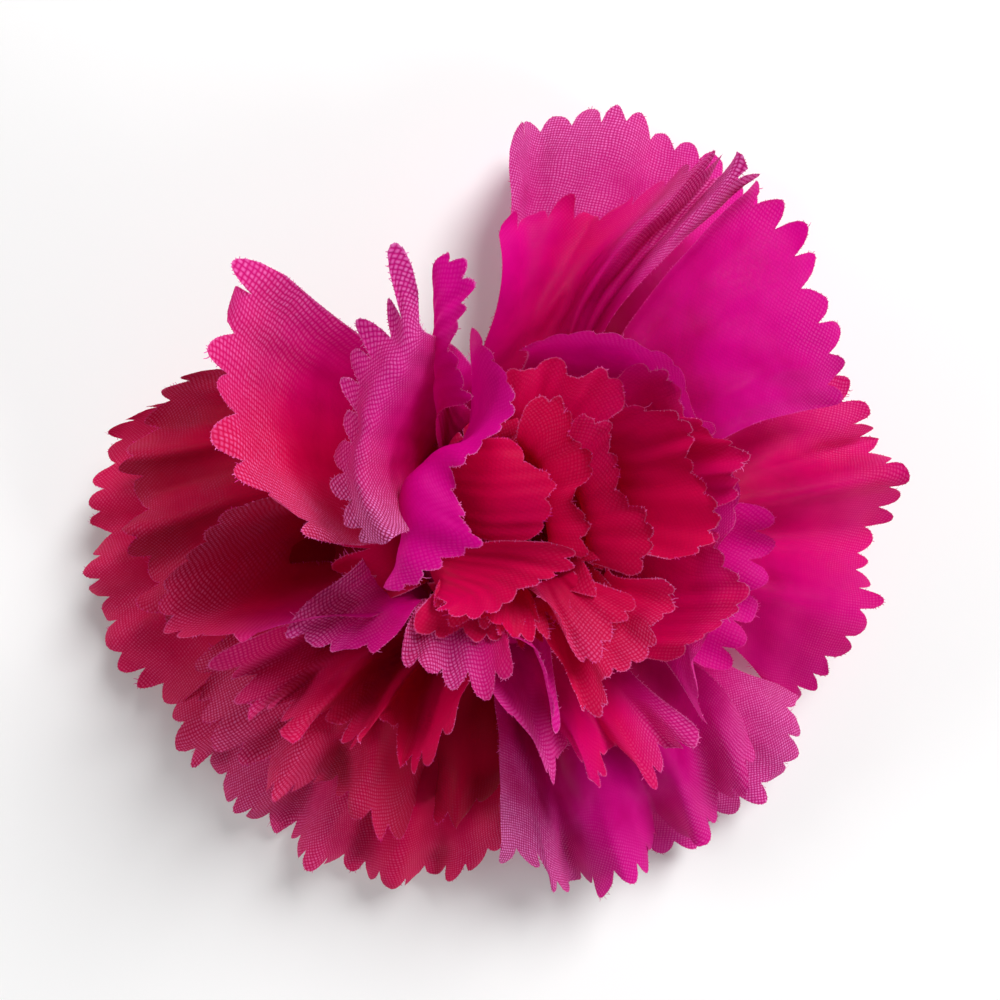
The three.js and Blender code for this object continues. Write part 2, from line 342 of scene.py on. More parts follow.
def add_lobe(sheet, disc, shape, left, right, flat_middle, draw):
    """The cloth of one lobe with its share of the disc's middle; left and right are its sector."""
    rim = rim_of(shape, draw)
    u, notch = rim["u"], rim["notch"][None, :]
    if shape["rows"] is None:
        table_s, table_u, places, normals = lobe_tables(shape, disc)
    else:
        table_s, table_u, places, normals = folded_tables(shape, draw)

    hub = np.linspace(HOLE_RADIUS, SLIT_ROOT, HUB_ROWS)[:, None]
    body = (np.arange(1, BODY_ROWS + 1)[:, None] / BODY_ROWS) ** BODY_CROWDING
    teeth = np.arange(1, TOOTH_ROWS + 1)[:, None] / TOOTH_ROWS
    s = np.concatenate([
        np.repeat(hub, len(u), 1),
        SLIT_ROOT + (notch - SLIT_ROOT) * body,
        notch + (rim["rim"][None, :] - notch) * teeth,
    ])
    columns = np.repeat(u[None, :], len(s), 0)
    point = look_up(table_s, table_u, places, s, columns)
    normal = look_up(table_s, table_u, normals, s, columns)

    beyond = np.clip((s - notch) / TOOTH_DEPTH, 0, 1.5)
    phase = draw.uniform(0, 2 * math.pi, 2 * WRINKLE_COUNT)
    wrinkle = sum(np.sin((1.3 + k * 0.9) * s * 0.35 + (4 + 3 * k) * columns + phase[k]) * WRINKLE_HEIGHT
                  for k in range(WRINKLE_COUNT))
    wrinkle *= smoothstep((s - SLIT_ROOT) / WRINKLE_START) * disc["crease"]
    point = point + normal * (rim["curl"][None, :] * beyond ** 2 + wrinkle)[..., None]

    cup = hub_surface(disc, s, sector_angles(shape, columns, left, right))
    blend = smoothstep((s - SLIT_ROOT) / shape["root"])[..., None]
    point = cup * (1 - blend) + point * blend

    half = math.radians(shape["half"])
    flat_angle = math.radians(flat_middle) + half * columns
    flat = np.stack([s * np.cos(flat_angle), s * np.sin(flat_angle)], -1)
    side = np.where(s > SLIT_ROOT, (1 - np.abs(columns)) * half * s, OPEN_CLOTH)
    tooth_side = np.where(beyond > 0, rim["lateral"] * (1.3 - 0.8 * np.minimum(beyond, 1)), OPEN_CLOTH)
    edge = np.minimum(np.minimum(side, rim["rim"] - s), tooth_side)

    grid = np.arange(s.size).reshape(s.shape)
    quads = np.stack([grid[:-1, :-1], grid[1:, :-1], grid[1:, 1:], grid[:-1, 1:]], -1).reshape(-1, 4)
    # The lobe's painted sheen and painted shade, spread across it from the clockwise edge.
    gloss, tone = (np.interp(0.5 * columns + 0.5, np.linspace(0, 1, len(shape[k])), shape[k])
                   for k in ("gloss", "tone"))
    border = disc["border"]
    reach = np.clip(s / notch, 0, 1)
    sheet.add(point, quads, flat, cut_edge=edge, reach=reach, gloss=gloss, tone=tone, border=border)

    past_hub, whole = slice(HUB_ROWS, None), slice(None)
    cuts = (((past_hub, 0), (past_hub, 1)), ((past_hub, -1), (past_hub, -2)), ((-1, whole), (-2, whole)))
    for cut, inside in cuts:
        loose_threads(sheet, draw, point[cut], point[inside], normal[cut], flat[cut], gloss.mean(), border)


def build_mesh(name, sheet):
    """Joins a sheet's lobes into one mesh, with its flat pattern as UV map and its marks."""
    mesh = bpy.data.meshes.new(name)
    places = np.concatenate(sheet.places) * MM
    mesh.from_pydata(places.tolist(), [], np.concatenate(sheet.faces).tolist())
    flat = np.concatenate(sheet.flat)
    corner = np.empty(len(mesh.loops), dtype=np.int32)
    mesh.loops.foreach_get("vertex_index", corner)
    uv = mesh.uv_layers.new(name="flat_cloth")
    uv.data.foreach_set("uv", (flat[corner] / UV_SPAN + 0.5).astype(np.float32).ravel())
    for label, values in sheet.marks.items():
        mark = mesh.attributes.new(label, "FLOAT", "POINT")
        mark.data.foreach_set("value", np.concatenate(values).astype(np.float32))
    mesh.polygons.foreach_set("use_smooth", [True] * len(mesh.polygons))
    work = bmesh.new()
    work.from_mesh(mesh)
    bmesh.ops.remove_doubles(work, verts=work.verts, dist=WELD)
    work.to_mesh(mesh)
    work.free()
    mesh.update()
    return mesh, (flat.max(0) - flat.min(0)) * MM


def make_disc(number, disc, material):
    """One petal disc: its lobes side by side round the hole, joined in the middle."""
    draw = np.random.default_rng(disc["seed"])
    sheet = Sheet()
    lobes = sorted(disc["lobes"], key=lambda one: one["azimuth"])
    azimuths = [one["azimuth"] for one in lobes]
    halfways = [0.5 * (after - before) for before, after in zip(azimuths, azimuths[1:] + [azimuths[0] + 360])]
    for k, shape in enumerate(lobes):
        if shape["rows"] is not None:
            shape_folded(shape, disc, halfways[k], halfways[k - 1])
    tight = min(1.0, FLAT_TURN / sum(2 * one["half"] for one in lobes))
    for shape in lobes:
        shape["half"] *= tight
    spare = (360 - sum(2 * one["half"] for one in lobes)) / len(lobes)
    flat_start = 0.0
    for k, shape in enumerate(lobes):
        add_lobe(sheet, disc, shape, halfways[k], halfways[k - 1], flat_start + shape["half"], draw)
        flat_start += 2 * shape["half"] + spare

    name = f"cloth_disc_{number}"
    mesh, (width, height) = build_mesh(name, sheet)
    piece = bpy.data.objects.new(name, mesh)
    bpy.context.scene.collection.objects.link(piece)
    mesh.materials.append(material)
    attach(piece, "root")
    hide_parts(f"petal_disc_{number}")


# ---- node groups --------------------------------------------------------------------------
BORDER_WIDTH = 0.14             # of the frayed border, in millimetres
BUMP_DEPTH = 0.0001             # of threads and mould grain, in metres
CLOTH_SPECULAR = 0.06
THROUGH_LIGHT = 0.36            # share of the light that the cloth lets through
PLASTIC_BUMP = 0.35
PLASTIC_GRAIN = 2600.0


def new_group(name, inputs, outputs):
    group = bpy.data.node_groups.new(name, "ShaderNodeTree")
    for label, kind, value in inputs:
        socket = group.interface.new_socket(label, in_out="INPUT", socket_type=kind)
        if value is not None:
            socket.default_value = value
    for label, kind in outputs:
        group.interface.new_socket(label, in_out="OUTPUT", socket_type=kind)
    return group, group.nodes.new("NodeGroupInput"), group.nodes.new("NodeGroupOutput")


class Wiring:
    """Small helper to add maths nodes to a tree."""

    def __init__(self, tree):
        self.tree = tree

    def put(self, socket, value):
        if isinstance(value, (int, float, tuple)):
            socket.default_value = value
        else:
            self.tree.links.new(value, socket)

    def math(self, operation, a, b=None, c=None):
        node = self.tree.nodes.new("ShaderNodeMath")
        node.operation = operation
        for k, value in enumerate((a, b, c)):
            if value is not None:
                self.put(node.inputs[k], value)
        return node.outputs[0]

    def span(self, value, low, high, to_low=0.0, to_high=1.0):
        node = self.tree.nodes.new("ShaderNodeMapRange")
        node.interpolation_type = "SMOOTHSTEP"
        for k, part in enumerate((value, low, high, to_low, to_high)):
            self.put(node.inputs[k], part)
        return node.outputs[0]

    def colours(self, factor, a, b):
        node = self.tree.nodes.new("ShaderNodeMix")
        node.data_type = "RGBA"
        self.put(node.inputs["Factor"], factor)
        self.put(node.inputs["A"], a)
        self.put(node.inputs["B"], b)
        return node.outputs["Result"]

    def noise(self, vector, scale, detail=2.0, roughness=0.5):
        node = self.tree.nodes.new("ShaderNodeTexNoise")
        self.tree.links.new(vector, node.inputs["Vector"])
        node.inputs["Scale"].default_value = scale
        node.inputs["Detail"].default_value = detail
        node.inputs["Roughness"].default_value = roughness
        return node.outputs["Fac"]


def weave_group():
    """Plain weave on flat cloth: thread height, which set is on top, and uneven thread shade."""
    group, source, sink = new_group(
        "plain_weave",
        [("Flat", "NodeSocketVector", None), ("Threads", "NodeSocketFloat", UV_SPAN / THREAD_PITCH)],
        [("Height", "NodeSocketFloat"), ("Weft", "NodeSocketFloat"), ("Shade", "NodeSocketFloat")],
    )
    w = Wiring(group)
    split = group.nodes.new("ShaderNodeSeparateXYZ")
    w.put(split.inputs[0], source.outputs["Flat"])
    wobble = w.math("MULTIPLY", w.math("SUBTRACT", w.noise(source.outputs["Flat"], 26.0, 2.0), 0.5), 2.4)
    x = w.math("ADD", w.math("MULTIPLY", split.outputs[0], source.outputs["Threads"]), wobble)
    y = w.math("ADD", w.math("MULTIPLY", split.outputs[1], source.outputs["Threads"]), wobble)
    sin_x = w.math("SINE", w.math("MULTIPLY", x, math.pi))
    sin_y = w.math("SINE", w.math("MULTIPLY", y, math.pi))
    bump_x = w.math("ABSOLUTE", sin_x)
    bump_y = w.math("ABSOLUTE", sin_y)
    weft_on_top = w.span(w.math("MULTIPLY", sin_x, sin_y), -0.06, 0.06)
    warp_height = w.math("MULTIPLY", w.math("POWER", bump_x, 0.9), w.math("POWER", bump_y, 0.35))
    weft_height = w.math("MULTIPLY", w.math("POWER", bump_y, 0.9), w.math("POWER", bump_x, 0.35))
    mixed = group.nodes.new("ShaderNodeMix")
    w.put(mixed.inputs["Factor"], weft_on_top)
    w.put(mixed.inputs["A"], warp_height)
    w.put(mixed.inputs["B"], weft_height)
    w.put(sink.inputs["Height"], mixed.outputs["Result"])
    w.put(sink.inputs["Weft"], weft_on_top)
    cell = group.nodes.new("ShaderNodeCombineXYZ")
    w.put(cell.inputs[0], w.math("FLOOR", x))
    w.put(cell.inputs[1], w.math("FLOOR", y))
    grain = group.nodes.new("ShaderNodeTexWhiteNoise")
    grain.noise_dimensions = "2D"
    w.put(grain.inputs["Vector"], cell.outputs[0])
    w.put(sink.inputs["Shade"], grain.outputs["Value"])
    return group


def fringe_group():
    """Mask of the frayed border along a cut edge, uneven as pulled threads are."""
    group, source, sink = new_group(
        "frayed_border",
        [("Edge", "NodeSocketFloat", 1.0), ("Flat", "NodeSocketVector", None),
         ("Width", "NodeSocketFloat", BORDER_WIDTH)],
        [("Mask", "NodeSocketFloat")],
    )
    w = Wiring(group)
    rough = w.noise(source.outputs["Flat"], 160.0, 3.0, 0.6)
    reach = w.math("MULTIPLY", source.outputs["Width"], w.math("MULTIPLY_ADD", rough, 2.2, -0.2))
    patches = w.span(w.noise(source.outputs["Flat"], 34.0, 2.0), 0.38, 0.6, 0.25, 1.0)
    border = w.span(source.outputs["Edge"], 0.0, reach, 1.0, 0.0)
    w.put(sink.inputs["Mask"], w.math("MULTIPLY", border, patches))
    return group


WEAVE = weave_group()
FRINGE = fringe_group()
# MAGENTA is the cloth's dye. RED and DEEP are painted shade: red where light is bounced between the folds,
# deep red in shaded hollows. PALE is the painted sheen on the threads, and also the pale colour of the frayed
# edges.
MAGENTA = (0.72, 0.0, 0.3, 1.0)
RED = (0.73, 0.0, 0.08, 1.0)
DEEP = (0.34, 0.0, 0.02, 1.0)
PALE = (0.96, 0.3, 0.74, 1.0)


def petal_cloth(name):
    """Dyed woven polyester, magenta, with painted shade that turns it red and deep red, darker towards the
    hub and in the gaps between threads, painted sheen of pale threads near the rims, and pale frayed edges.
    """
    material = bpy.data.materials.new(name)
    material.use_nodes = True
    tree = material.node_tree
    tree.nodes.clear()
    w = Wiring(tree)
    flat = tree.nodes.new("ShaderNodeUVMap")
    flat.uv_map = "flat_cloth"
    marks = {}
    for label in ("cut_edge", "reach", "gloss", "tone", "border"):
        node = tree.nodes.new("ShaderNodeAttribute")
        node.attribute_name = label
        marks[label] = node.outputs["Fac"]
    weave = tree.nodes.new("ShaderNodeGroup")
    weave.node_tree = WEAVE
    w.put(weave.inputs["Flat"], flat.outputs[0])
    fringe = tree.nodes.new("ShaderNodeGroup")
    fringe.node_tree = FRINGE
    w.put(fringe.inputs["Edge"], marks["cut_edge"])
    w.put(fringe.inputs["Flat"], flat.outputs[0])

    patchy = w.math("MULTIPLY_ADD", w.noise(flat.outputs[0], 16.0, 3.0, 0.55), 0.7, -0.35)
    # Painted shade: the lobe's shade value, with uneven patches, turns the magenta dye to red and then deep
    # red.
    redness = w.math("ADD", marks["tone"], w.math("MULTIPLY", patchy, 0.6))
    colour = w.colours(w.span(redness, 0.0, 1.0), MAGENTA, RED)
    colour = w.colours(w.span(redness, 1.0, 2.0), colour, DEEP)
    # Painted shade, darker towards the hub.
    painted_hub_shade = w.span(w.math("ADD", marks["reach"], patchy), 0.3, 1.0, 1.0, 0.0)
    colour = w.colours(w.math("MULTIPLY", painted_hub_shade, 0.9), colour, DEEP)
    # Painted sheen: pale thread tops towards the rims, as strong as the lobe's sheen value.
    start = w.math("MULTIPLY_ADD", marks["gloss"], -0.35, 0.9)
    rimwards = w.span(w.math("ADD", marks["reach"], w.math("MULTIPLY", patchy, 0.6)), start, 1.0)
    wear_and_sheen = w.math("MULTIPLY", w.math("POWER", marks["gloss"], 1.4), rimwards)
    # Painted shade in the gaps between threads, stronger where the painted sheen is.
    gap = w.math("SUBTRACT", 1.0, weave.outputs["Height"])
    gap = w.math("MULTIPLY", gap, w.math("MULTIPLY_ADD", wear_and_sheen, 0.5, 0.03))
    colour = w.colours(gap, colour, DEEP)
    # Painted highlight on the thread tops, in the pale colour.
    thread = w.math("MULTIPLY_ADD", weave.outputs["Shade"], 0.5, 0.6)
    thread = w.math("MULTIPLY", thread, w.math("POWER", weave.outputs["Height"], 2.5))
    haze = w.math("MULTIPLY_ADD", thread, 0.85, 0.03)
    pale = w.math("MULTIPLY", haze, w.math("POWER", wear_and_sheen, 1.4))
    colour = w.colours(w.math("MINIMUM", pale, 1.0), colour, PALE)
    border = w.math("MULTIPLY", fringe.outputs["Mask"], marks["border"])
    colour = w.colours(border, colour, PALE)

    bump = tree.nodes.new("ShaderNodeBump")
    w.put(bump.inputs["Strength"], w.math("MULTIPLY_ADD", wear_and_sheen, 0.5, 0.06))
    bump.inputs["Distance"].default_value = BUMP_DEPTH
    w.put(bump.inputs["Height"], weave.outputs["Height"])

    body = tree.nodes.new("ShaderNodeBsdfPrincipled")
    w.put(body.inputs["Base Color"], colour)
    w.put(body.inputs["Normal"], bump.outputs[0])
    w.put(body.inputs["Roughness"], w.math("MULTIPLY_ADD", weave.outputs["Shade"], 0.15, 0.45))
    body.inputs["Specular IOR Level"].default_value = CLOTH_SPECULAR
    through_light = tree.nodes.new("ShaderNodeBsdfTranslucent")
    w.put(through_light.inputs["Color"], colour)
    w.put(through_light.inputs["Normal"], bump.outputs[0])
    mix = tree.nodes.new("ShaderNodeMixShader")
    mix.inputs[0].default_value = THROUGH_LIGHT
    w.put(mix.inputs[1], body.outputs[0])
    w.put(mix.inputs[2], through_light.outputs[0])
    out = tree.nodes.new("ShaderNodeOutputMaterial")
    w.put(out.inputs["Surface"], mix.outputs[0])
    return material


def moulded_plastic(name, base, wear_and_sheen, roughness):
    """Injection-moulded plastic with a faint mould grain and uneven colour."""
    material = bpy.data.materials.new(name)
    material.use_nodes = True
    tree = material.node_tree
    tree.nodes.clear()
    w = Wiring(tree)
    place = tree.nodes.new("ShaderNodeTexCoord").outputs["Object"]
    cloudy = w.noise(place, 180.0, 3.0)
    grain = w.noise(place, PLASTIC_GRAIN, 2.0)
    colour = w.colours(w.span(cloudy, 0.35, 0.7), base, wear_and_sheen)
    bump = tree.nodes.new("ShaderNodeBump")
    bump.inputs["Strength"].default_value = PLASTIC_BUMP
    bump.inputs["Distance"].default_value = BUMP_DEPTH
    w.put(bump.inputs["Height"], grain)
    body = tree.nodes.new("ShaderNodeBsdfPrincipled")
    w.put(body.inputs["Base Color"], colour)
    w.put(body.inputs["Normal"], bump.outputs[0])
    w.put(body.inputs["Roughness"], w.math("MULTIPLY_ADD", grain, 0.2, roughness))
    out = tree.nodes.new("ShaderNodeOutputMaterial")
    w.put(out.inputs["Surface"], body.outputs[0])
    return material


# ---- the eight discs ----------------------------------------------------------------------
# Lengths are in millimetres and angles in degrees. hub is the height of a disc's middle on the pin,
# seat the radius of its flat part and rise the slope of its cup. crease scales its wrinkles, and
# border is how pale its frayed cuts are.
# Each lobe's last two lists carry its painted sheen, pale threads near the rim, and its painted shade,
# magenta dye turned red and deep red.
DISCS = [
    dict(seed=11, crease=0.7, border=0.05, rise=-5, seat=7.0, hub=11.5, lobes=[
        folded(72,
               ((17, 13, 10), (13, 16, 9), (9, 18.5, 10), (5, 20, 10), (1.5, 20.5, 11), (-0.5, 20, 13)),
               ((26, 24.5, 2), (22.5, 28.5, 4), (18.5, 32, 6), (14.3, 34.3, 4), (10, 36, 6), (6, 36.6, 5),
                (2.8, 36.2, 4), (0, 35.6, 8)),
               ripple=0.1, gloss=(0.2, 0.3, 0.7, 0.9, 1.0, 1.0), tone=(0.0, 0.2, 0.1)),
        folded(-2,
               ((18, -9, 9), (20, -5, 11), (20.5, -1.5, 8), (21, 2, 10), (20.5, 5, 9), (19.5, 8, 8),
                (18.5, 10, 10)),
               ((26, -17, 2), (27.5, -13.5, 5), (29.5, -9.5, 8), (30.8, -6, 8), (31.5, -3.5, 4),
                (32.8, -0.5, 3), (33, 2.5, 6), (33, 5, 8), (31.8, 7.5, 4), (30.3, 10, 7), (28.5, 14, 5),
                (27, 18, 3)),
               ripple=0.1, gloss=(0.4, 0.35, 0.45, 0.6), tone=(0.3, 0.4, 0.6, 0.5)),
        folded(-48,
               ((6, -20, 9), (9.5, -19, 10), (13, -17, 9), (16, -14.5, 10), (18.5, -11.5, 9)),
               ((6, -31.5, 3), (10, -30, 2), (14, -28.5, 4), (17.5, -27, 3), (21, -24, 5), (24, -21.5, 5),
                (25.5, -18.5, 6), (26.5, -15, 3)),
               ripple=0.1, gloss=(0.4, 0.5, 0.8, 1.0, 1.0), tone=(0.1, 0.2)),
        folded(-122,
               ((-19, -8, 10), (-17, -12, 9), (-13.5, -15.5, 11), (-10, -18, 9), (-6, -20, 11),
                (-0.6, -20, 10)),
               ((-31.5, -14, 4), (-29, -18.5, 7), (-26.5, -21.5, 4), (-23.5, -24.5, 7), (-20, -26.5, 3),
                (-17, -28.5, 8), (-14, -29.5, 4), (-10.5, -31, 7), (-7, -31, 4), (-3.5, -30, 7),
                (0, -28.5, 5)),
               ripple=0.1, gloss=(0.6, 0.9, 0.8, 0.5, 0.6), tone=(1.2, 0.7, 0.7, 0.9, 0.9)),
        folded(182,
               ((-17, 11, 14), (-20, 7.5, 12), (-21, 3.5, 11), (-21, -0.5, 12), (-20.5, -4.5, 10),
                (-19, -8, 11)),
               ((-30, 11, 11), (-33.5, 9.5, 7), (-35.5, 6.5, 5), (-36, 3, 7), (-36, -0.5, 5),
                (-36.2, -3.5, 8), (-35.3, -7, 5), (-35, -10.5, 6), (-33, -14, 4), (-31, -17, 5)),
               ripple=0.1, gloss=(0.3, 0.45, 0.55, 0.55), tone=(1.5, 1.3, 1.0)),
    ]),
    dict(seed=22, crease=0.6, border=0.1, rise=6, seat=6.4, hub=12.3, lobes=[
        folded(76,
               ((8.5, 17.5, 18), (7.8, 19, 14), (6.5, 19.5, 16.5), (5, 19, 14), (3, 18.5, 14), (1, 18, 15),
                (-1, 18, 17)),
               ((19.5, 28.5, 15), (18, 28.8, 18), (16.5, 28.8, 13), (14.8, 28.8, 17), (12, 28, 13),
                (9, 26.5, 13), (6.5, 25.3, 12), (4, 26, 14), (1, 25, 15), (-1, 25.5, 18)),
               ripple=0.1, gloss=(1.0, 1.0, 0.8, 0.3, 0.2, 0.2), tone=(0.1, 0.2, 0.6, 0.3)),
        folded(38,
               ((19, 8.3, 14), (18, 11, 15), (16.5, 13.5, 14.5), (14.5, 15.5, 14.5), (12, 17, 15),
                (10, 17.5, 17)),
               ((27.5, 10.5, 10), (26.5, 13.5, 13), (25, 16.5, 14.5), (24, 19.5, 14.5), (23, 22.3, 14),
                (21.7, 25, 13.5), (20.5, 27, 14), (19.5, 28.2, 16.5)),
               ripple=0.04, gloss=(0.4, 0.4, 0.2, 0.5), tone=(0.0, 0.0, 0.2)),
        folded(-66,
               ((-1, -18, 14), (1.5, -19, 11), (4, -19.5, 14), (7.5, -18.5, 11), (11, -17, 14),
                (14, -15, 12), (16.5, -12, 14)),
               ((-0.8, -27, 14), (2.5, -28.5, 10), (3.8, -30.5, 9), (5.5, -31.2, 4), (7.5, -30.2, 8),
                (9.5, -29, 11), (11.5, -28, 9), (13.5, -27, 4), (16, -26, 9), (18.5, -24, 6),
                (20, -21.5, 10), (21, -18, 8)),
               ripple=0.1, gloss=(1.3, 1.0, 0.5, 0.3, 0.6, 0.8), tone=(0.0, 0.1, 0.2)),
        folded(-133,
               ((-18.5, -6, 14), (-17, -10, 15), (-14, -13, 12), (-11, -16, 15), (-7, -17, 12),
                (-1, -17, 13)),
               ((-26, -10.5, 14), (-25.5, -14, 11), (-23.5, -16, 14.5), (-20.5, -18.5, 12),
                (-18.5, -20.5, 15.5), (-15.5, -20.5, 10), (-12.5, -21.5, 14.5), (-10, -24.5, 12),
                (-7, -23, 9), (-4.5, -24, 13), (-0.8, -22.5, 10)),
               ripple=0.1, gloss=(0.7, 0.9, 0.7, 0.6, 0.3, 0.2), tone=(1.0, 0.8, 1.2, 1.6, 1.7)),
        folded(172,
               ((-15, 12, 19), (-17.5, 9, 17), (-18.5, 5, 16), (-19, 1, 15), (-19, -3, 14)),
               ((-25, 13, 17), (-28, 11.5, 14), (-29.5, 8.5, 11), (-31, 6, 13), (-30.5, 3, 10),
                (-31, 0, 13), (-30, -3, 10), (-29.5, -6.5, 12), (-28, -9.5, 10)),
               ripple=0.1, gloss=(0.4, 0.45, 0.5), tone=(1.7, 1.6, 1.4)),
        lobe(-14, 26, 21.5, (10, 24, 24, 10), cup=(0, 14, 20), waves=((3.0, 36, 0.4),), tone=(0.2,)),
    ]),
    dict(seed=33, crease=0.4, border=0.35, rise=40, seat=5.6, hub=14.7, lobes=[
        folded(146,
               ((-11, 14.2, 29), (-12.8, 12, 28), (-13.8, 9.5, 27.5), (-13.8, 6.8, 27.5), (-12.8, 4, 27),
                (-11, 1.5, 26.5), (-9.8, -0.5, 26)),
               ((-15.5, 17.6, 36.5), (-16.6, 15.4, 37), (-17, 13, 37.3), (-17.2, 10.5, 37.3),
                (-17, 8, 37.2), (-16.6, 6, 37), (-16, 4.2, 36.8), (-15, 2.7, 36.4), (-13.8, 1.6, 35.8),
                (-12.7, 0.8, 35), (-11.8, -0.2, 34)),
               ripple=0.05, teeth=1.3, pitch=0.75, spurs=(1.1, 1.4),
               gloss=(0.75, 0.7, 0.65, 0.65, 0.8, 0.9), tone=(0.3, 0.6, 1.1, 1.4)),
        folded(192,
               ((-13, 2, 24), (-15, 0.8, 17), (-16.5, -1.2, 14), (-16.5, -3.2, 14), (-15.5, -4.8, 18),
                (-12.5, -5.6, 23.5), (-9.5, -5.6, 26)),
               ((-17.5, 3, 26), (-20.5, 1.8, 24.5), (-23, -0.6, 22), (-25.5, -3, 20), (-26, -5.5, 20),
                (-24.8, -7, 22.5), (-22, -7.2, 25.5), (-19, -7, 26.5), (-16, -6.2, 27.5), (-13, -5.6, 28.5),
                (-10, -5.6, 29)),
               teeth=0.6, pitch=0.8, upright=0.6, gloss=(0.4, 0.6, 0.7, 0.5, 0.4, 0.3),
               tone=(1.9, 1.5, 0.7, 0.0)),
        folded(-122,
               ((-15, -6.5, 19), (-13.5, -8.6, 14.5), (-11.3, -9.3, 19), (-9.5, -10.6, 14),
                (-7.5, -10.5, 18.5), (-6, -11, 14.5), (-4, -10.5, 18.5), (-2.5, -10, 20)),
               ((-22, -8.6, 22), (-21.8, -10.6, 20), (-20.6, -11.4, 17), (-19.6, -13.2, 20.5),
                (-17.8, -13.2, 16.5), (-15.8, -14.2, 21.5), (-13.6, -14, 15.5), (-12.6, -16, 16),
                (-11.2, -15.4, 21.5), (-9.4, -14, 18), (-8.2, -17.8, 17), (-6.4, -16.6, 21),
                (-5, -14.8, 23), (-4, -12.8, 24.5)),
               teeth=0.9, gloss=(0.5, 0.7, 0.5, 0.3, 0.2, 0.2), tone=(0.6, 0.7, 1.2, 1.4, 1.2)),
        folded(-75,
               ((-1.2, -11, 20), (0.8, -11.8, 19), (3, -12.3, 19), (6, -12.2, 18.5), (9.5, -11, 18.5)),
               ((-1.5, -11.3, 25.5), (-0.5, -12.5, 25), (1, -14.3, 24.5), (2.2, -16.2, 23.5), (3, -18, 22),
                (3.8, -16, 19.5), (4.8, -15.8, 22), (6, -17.6, 24), (7.2, -15.8, 20), (8.6, -16.4, 22.5),
                (10, -17.6, 24), (11.4, -15.8, 20.5), (13, -15.6, 23), (14.8, -15, 23.5)),
               teeth=0.6, pitch=0.8, gloss=(0.6, 0.9, 0.3, 0.2, 0.5, 0.7), tone=(0.2, 0.2, 0.6, 0.7, 0.2)),
        folded(-14,
               ((11.5, -9.5, 18), (13, -6, 18.5), (14, -2.5, 18.5), (14.3, 1, 18.5), (14.3, 4, 18.5)),
               ((15, -15, 22.5), (13.8, -13, 23.5), (13.8, -11, 22.5), (13.2, -9, 23.5), (14.5, -7.2, 22.5),
                (15.5, -5, 23.3), (15.3, -2.5, 22.5), (15.5, 0, 23.3), (16.8, 2.5, 22.5), (16.4, 5, 23.3)),
               teeth=0.6, upright=0.4, gloss=(0.6, 0.4), tone=(0.2, 0.2)),
        folded(58,
               ((13.5, 6, 18.5), (12, 9, 18.5), (9.5, 11.5, 18.5), (5, 12.8, 18.5), (1.2, 13.4, 18.5)),
               ((15.5, 7.8, 23.5), (13.5, 9, 24), (12.6, 11, 24.5), (11.5, 12.6, 24.5), (9.5, 13.6, 24.8),
                (7, 14.3, 25), (4.5, 14.5, 25), (2.2, 14.2, 25), (0.3, 13.4, 25.5)),
               teeth=0.35, pitch=0.6, upright=0.5, gloss=(0.3,), tone=(0.1, 0.1, 0.4)),
    ]),
    dict(seed=44, crease=0.25, border=0.5, rise=48, seat=5.0, hub=15.5, lobes=[
        folded(122,
               ((-3.5, 12.5, 30), (-4.5, 10.5, 30), (-5.5, 8.5, 30), (-6.3, 6.5, 30), (-6.8, 4.5, 30),
                (-6.6, 2.5, 30), (-6, 1, 30)),
               ((-5.5, 12.8, 38.4), (-5.9, 11.8, 38.8), (-6.6, 10.4, 39), (-7.6, 8.8, 39), (-8.4, 7, 39),
                (-8.9, 5, 39), (-8.8, 3.3, 39), (-8, 1.6, 38.8), (-7.2, 0.3, 38.3)),
               ((-5.5, 15, 38.6), (-6.8, 14.6, 38.3), (-7.3, 13, 38), (-8.4, 11.8, 37.5), (-9.2, 10, 37.2),
                (-9.6, 8.4, 37), (-9.6, 6.6, 37.3), (-10.2, 4.8, 37), (-10.2, 3.2, 37), (-9.8, 1.6, 37),
                (-9.2, 0.2, 36.8), (-8.2, -0.6, 36.5)),
               teeth=1.1, pitch=0.72, upright=0.35, spurs=(2.6,),
               gloss=(0.9, 0.8, 0.7, 0.7, 0.8, 1.2, 1.5), tone=(0.0, 0.1, 0.4, 0.5)),
        folded(-152,
               ((-11.5, -2.5, 25), (-10, -4, 24.5), (-8.2, -5, 24), (-6.5, -4.8, 24)),
               ((-15.3, -5, 26.8), (-15, -6.6, 26.5), (-13.6, -7, 26), (-12.4, -7.4, 27), (-11, -7.2, 26.5),
                (-9.6, -8, 27), (-8.2, -7.2, 27.5)),
               teeth=0.6, gloss=(1.0, 0.9, 0.4, 0.3), tone=(0.2, 0.3)),
        folded(-113,
               ((-6.5, -4.8, 23.5), (-4.5, -5.3, 23.5), (-2.5, -5.2, 23.5), (-0.5, -5, 23)),
               ((-8.2, -7.8, 25.5), (-7.4, -8.8, 25), (-5.9, -8.6, 25.5), (-4.6, -10, 24.8),
                (-3.4, -9.7, 25.3), (-1.9, -10.3, 25.5), (-0.9, -9, 26), (-0.2, -7.4, 26.5)),
               teeth=0.75, gloss=(1.0, 0.9, 0.9, 0.5, 0.3), tone=(0.5, 0.3, 0.6)),
        folded(-72,
               ((-1, -6.4, 22), (0.4, -6.4, 22), (1.6, -6.6, 22), (3, -7.4, 22)),
               ((-0.2, -7.2, 27), (1, -7.6, 27), (2.1, -8.6, 26.8), (2.5, -10.2, 26.5), (2.8, -12, 26),
                (2.9, -13.6, 25.5), (3.8, -15, 25)),
               teeth=0.45, gloss=(0.5,), tone=(0.3, 0.1)),
        folded(-20,
               ((6.5, -8.5, 21), (9.5, -7, 21.5), (11.8, -4.5, 22), (12.6, -2, 22), (12.6, 0.2, 22)),
